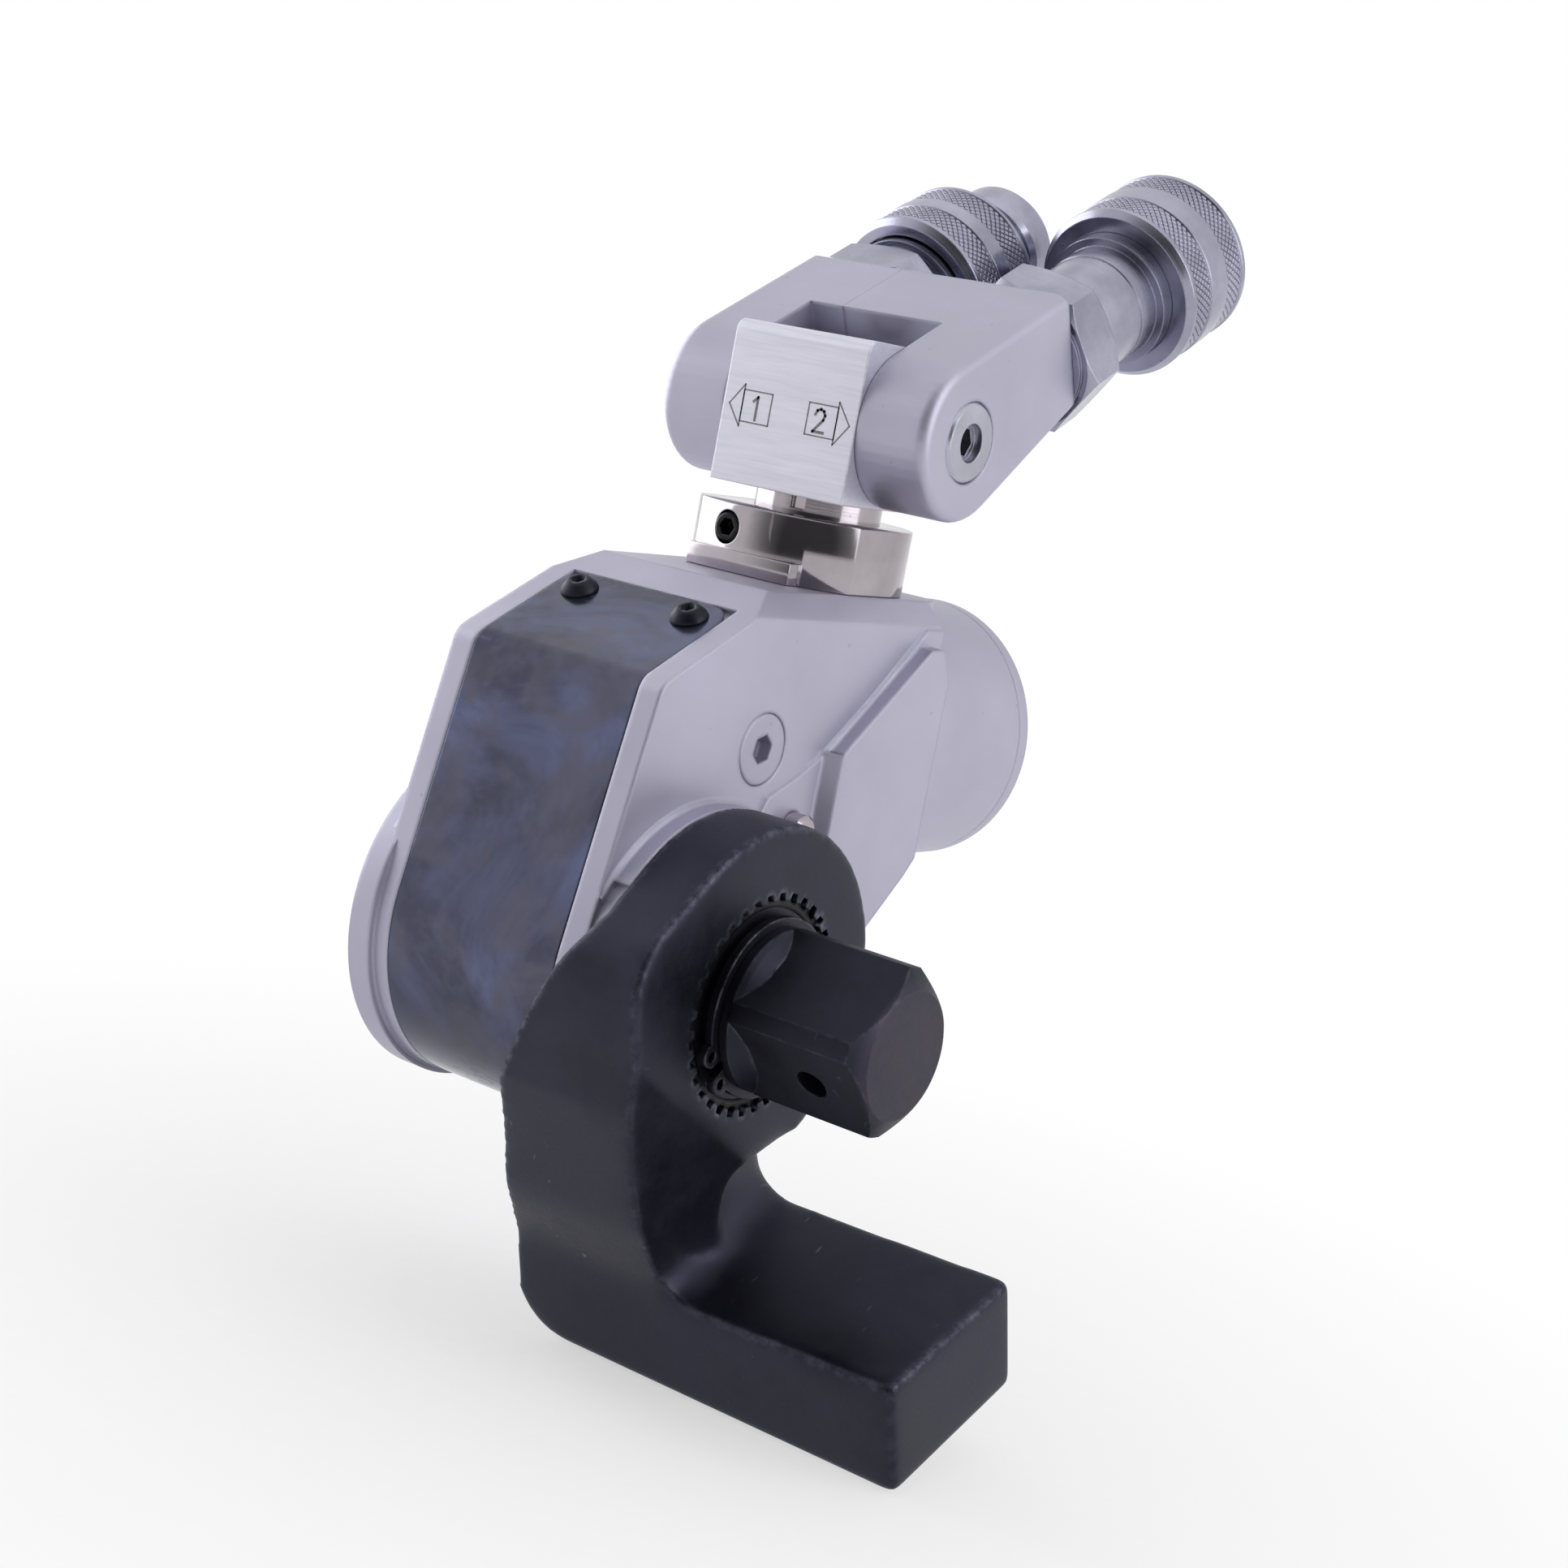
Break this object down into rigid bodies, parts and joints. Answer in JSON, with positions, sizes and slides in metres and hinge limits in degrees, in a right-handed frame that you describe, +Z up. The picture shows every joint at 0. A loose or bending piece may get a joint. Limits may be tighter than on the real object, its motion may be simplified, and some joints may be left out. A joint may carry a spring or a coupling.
{
  "type": "hydraulic torque wrench",
  "caption": "Square-drive hydraulic torque wrench with a splined reaction arm, a side cylinder and a tilting swivel that carries two hose couplers.",
  "frame": {"origin": "centre of the drive square's end face", "axes": "+X out of the square along the drive axis, +Y from the nose towards the cylinder, +Z up along the swivel post; the object leans in the picture"},
  "size_m": [0.1062, 0.1442, 0.1919],
  "materials": {
    "bead_blasted_aluminium": "bead-blasted, anodised",
    "blued_steel": "blued and polished",
    "black_oxide": "black oxide",
    "nickel_plate": "nickel plated",
    "zinc_plate": "bright zinc plated",
    "machined_steel": "machined",
    "brushed_aluminium": "fine brushed",
    "bronze": "machined bronze",
    "seal_rubber": "moulded",
    "spring_steel": "drawn wire"
  },
  "bodies": {
    "body": {"housing": "bead_blasted_aluminium", "front_cover": "blued_steel", "cover_screws": "black_oxide", "side_plug_right": "bead_blasted_aluminium", "side_plug_left": "bead_blasted_aluminium", "latch_spring": "spring_steel", "bush_right": "black_oxide", "bush_left": "bronze", "rod_gland": "bronze", "gland_seal": "seal_rubber", "cylinder_cap": "bead_blasted_aluminium", "cylinder_cap_seal": "seal_rubber", "swivel_clamp": "nickel_plate", "clamp_set_screw": "black_oxide"},
    "drive": {"drive_shaft": "black_oxide", "ratchet_wheel": "machined_steel", "drive_circlip": "black_oxide", "drive_cap": "black_oxide", "cap_ring": "spring_steel"},
    "release": {"release_button": "nickel_plate"},
    "lever": {"lever_plate_right": "machined_steel", "lever_plate_left": "machined_steel", "lever_pins": "machined_steel", "pawl_guide": "machined_steel", "pawl_springs": "spring_steel"},
    "pawl": {"ratchet_pawl": "machined_steel"},
    "piston": {"piston": "machined_steel", "piston_rod": "machined_steel", "rod_pin": "machined_steel", "piston_seals": "seal_rubber"},
    "latch": {"latch_button": "nickel_plate"},
    "arm": {"reaction_arm": "black_oxide"},
    "swivel": {"swivel_post": "nickel_plate", "post_seals": "seal_rubber", "swivel_block": "brushed_aluminium", "block_screw": "black_oxide"},
    "yoke": {"yoke_right": "bead_blasted_aluminium", "yoke_left": "bead_blasted_aluminium", "yoke_bolts": "black_oxide", "pivot_pin_right": "zinc_plate", "pivot_pin_left": "zinc_plate", "coupler_body_right": "zinc_plate", "coupler_poppet_right": "zinc_plate", "coupler_body_left": "zinc_plate", "coupler_nose_left": "zinc_plate"},
    "collar_right": {"coupler_collar_right": "zinc_plate"},
    "collar_left": {"coupler_collar_left": "zinc_plate"}
  },
  "joints": [
    {"name": "drive_turn", "type": "hinge", "parent": "body", "child": "drive", "pos_m": [0, 0, 0], "axis": [1, 0, 0], "continuous": true},
    {"name": "release_push", "type": "slide", "parent": "drive", "child": "release", "axis": [1, 0, 0], "range_m": [0, 0.0015]},
    {"name": "piston_slide", "type": "slide", "parent": "body", "child": "piston", "axis": [0, -1, 0], "range_m": [0, 0.01146]},
    {"name": "lever_swing", "type": "hinge", "parent": "body", "child": "lever", "pos_m": [0, 0, 0], "axis": [1, 0, 0], "range_deg": [0, 20]},
    {"name": "pawl_slide", "type": "slide", "parent": "lever", "child": "pawl", "axis": [0, 0.1736, 0.9848], "range_m": [-0.0014, 0]},
    {"name": "latch_push", "type": "slide", "parent": "body", "child": "latch", "axis": [-1, 0, 0], "range_m": [0, 0.0012]},
    {"name": "arm_slide", "type": "slide", "parent": "body", "child": "arm", "axis": [1, 0, 0], "range_m": [0, 0.012]},
    {"name": "swivel_turn", "type": "hinge", "parent": "body", "child": "swivel", "pos_m": [-0.0583, 0.04, 0.068], "axis": [0, 0, 1], "continuous": true},
    {"name": "yoke_tilt", "type": "hinge", "parent": "swivel", "child": "yoke", "pos_m": [-0.0583, 0.04, 0.082], "axis": [1, 0, 0], "range_deg": [-28, 60]},
    {"name": "collar_right_turn", "type": "hinge", "parent": "yoke", "child": "collar_right", "pos_m": [-0.0427, 0.09906, 0.11363], "axis": [0, 0.8829, 0.4695], "continuous": true},
    {"name": "collar_left_turn", "type": "hinge", "parent": "yoke", "child": "collar_left", "pos_m": [-0.0739, 0.08582, 0.10659], "axis": [0, 0.8829, 0.4695], "continuous": true}
  ],
  "couplings": [
    {"joint": "lever_swing", "follows": "piston_slide", "rad_per_m": 30.457}
  ]
}
